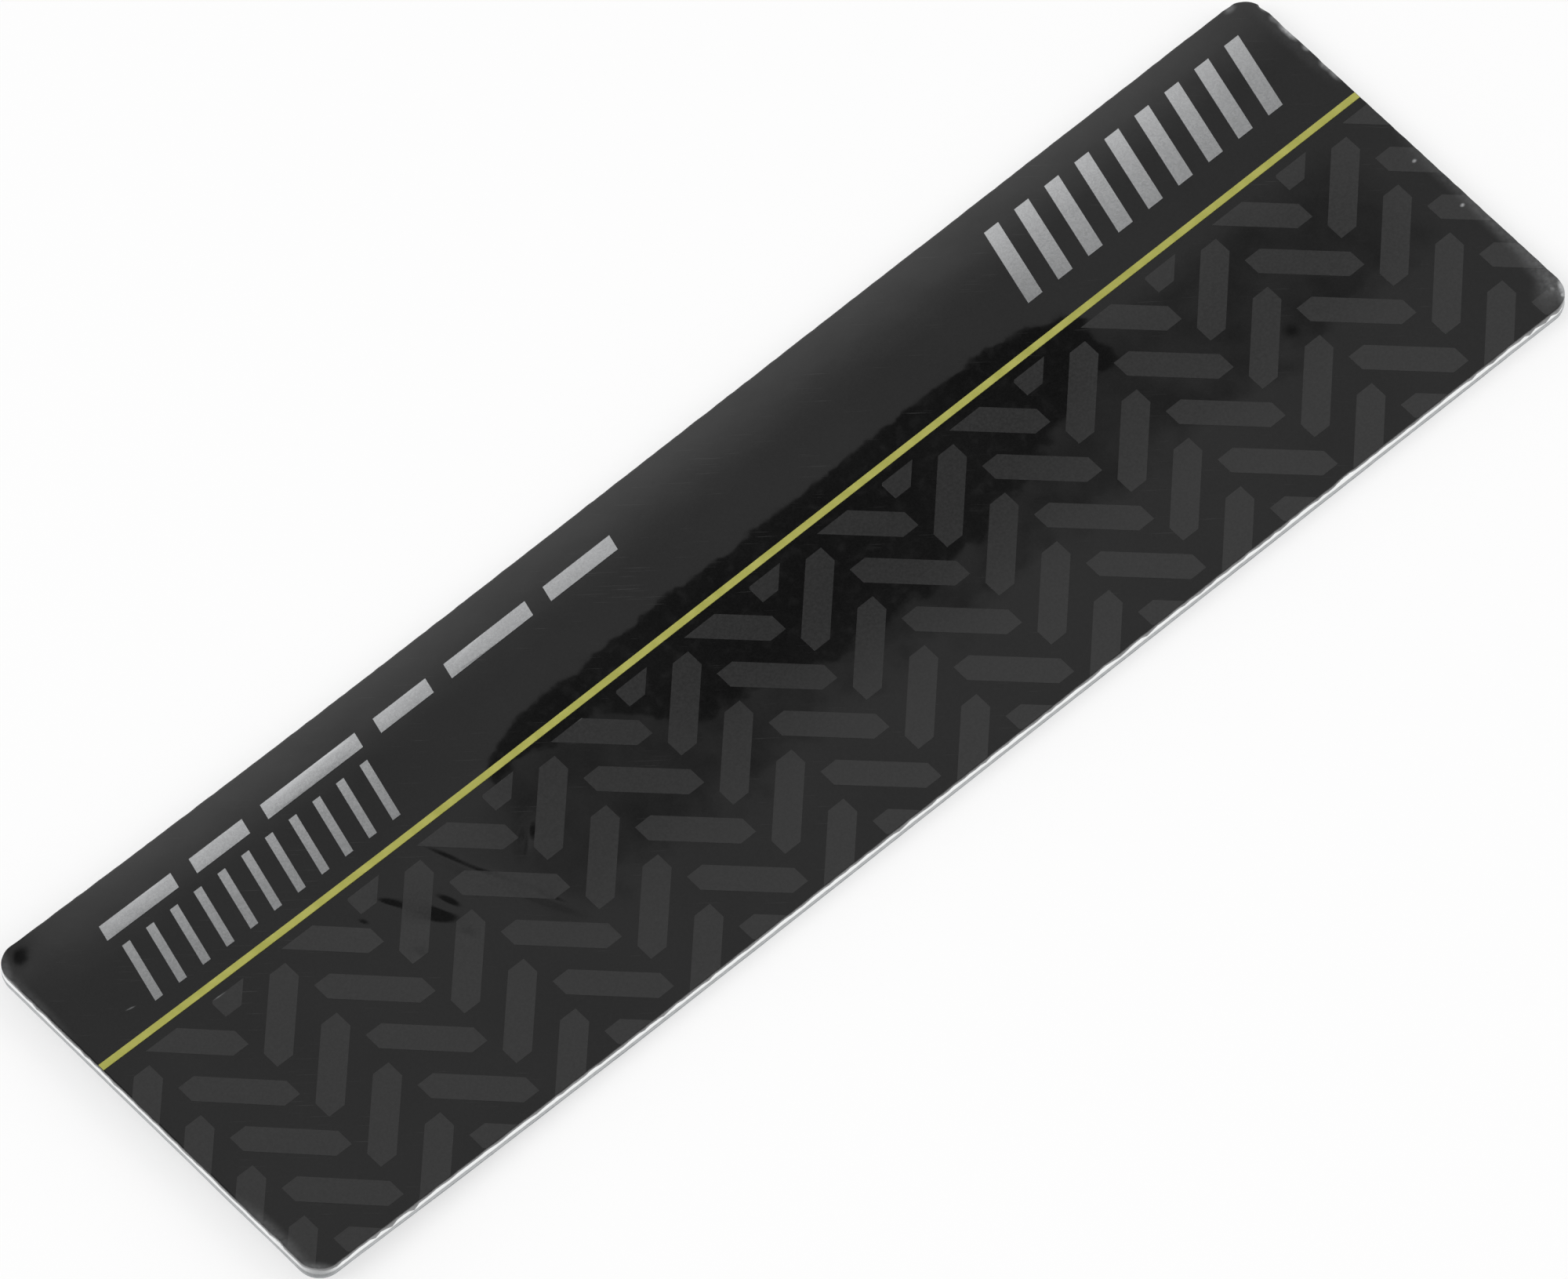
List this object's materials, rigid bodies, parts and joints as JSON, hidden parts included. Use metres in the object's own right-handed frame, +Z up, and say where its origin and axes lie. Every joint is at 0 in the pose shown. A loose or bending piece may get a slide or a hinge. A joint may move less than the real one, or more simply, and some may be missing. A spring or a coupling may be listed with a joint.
{
  "type": "ssd heat spreader plate",
  "caption": "Thin rounded-corner aluminium plate with a black printed face, a yellow stripe and an adhesive thermal pad beneath; sticks on a plug-in drive to spread its heat.",
  "frame": {"origin": "middle of the plate's outline, on the surface that the pad rests on", "axes": "+X along the plate away from its bent end, +Y across it towards the edge nearest the stripe, +Z up out of the printed face"},
  "size_m": [0.07, 0.0204, 0.0015],
  "materials": {
    "bare_aluminium": "stamped sheet, bright cut edge",
    "black_film": "semi-gloss, fine grain, worn edges",
    "yellow_ink": "satin screen-print ink",
    "grey_ink": "matte tone-on-tone ink",
    "silver_ink": "satin silver ink",
    "pad_rubber": "matte filled silicone tape"
  },
  "bodies": {
    "root": {"spreader_plate": "bare_aluminium", "face_film": "black_film", "stripe_ink": "yellow_ink", "pattern_ink": "grey_ink", "mark_ink": "silver_ink", "thermal_pad": "pad_rubber"}
  },
  "joints": []
}
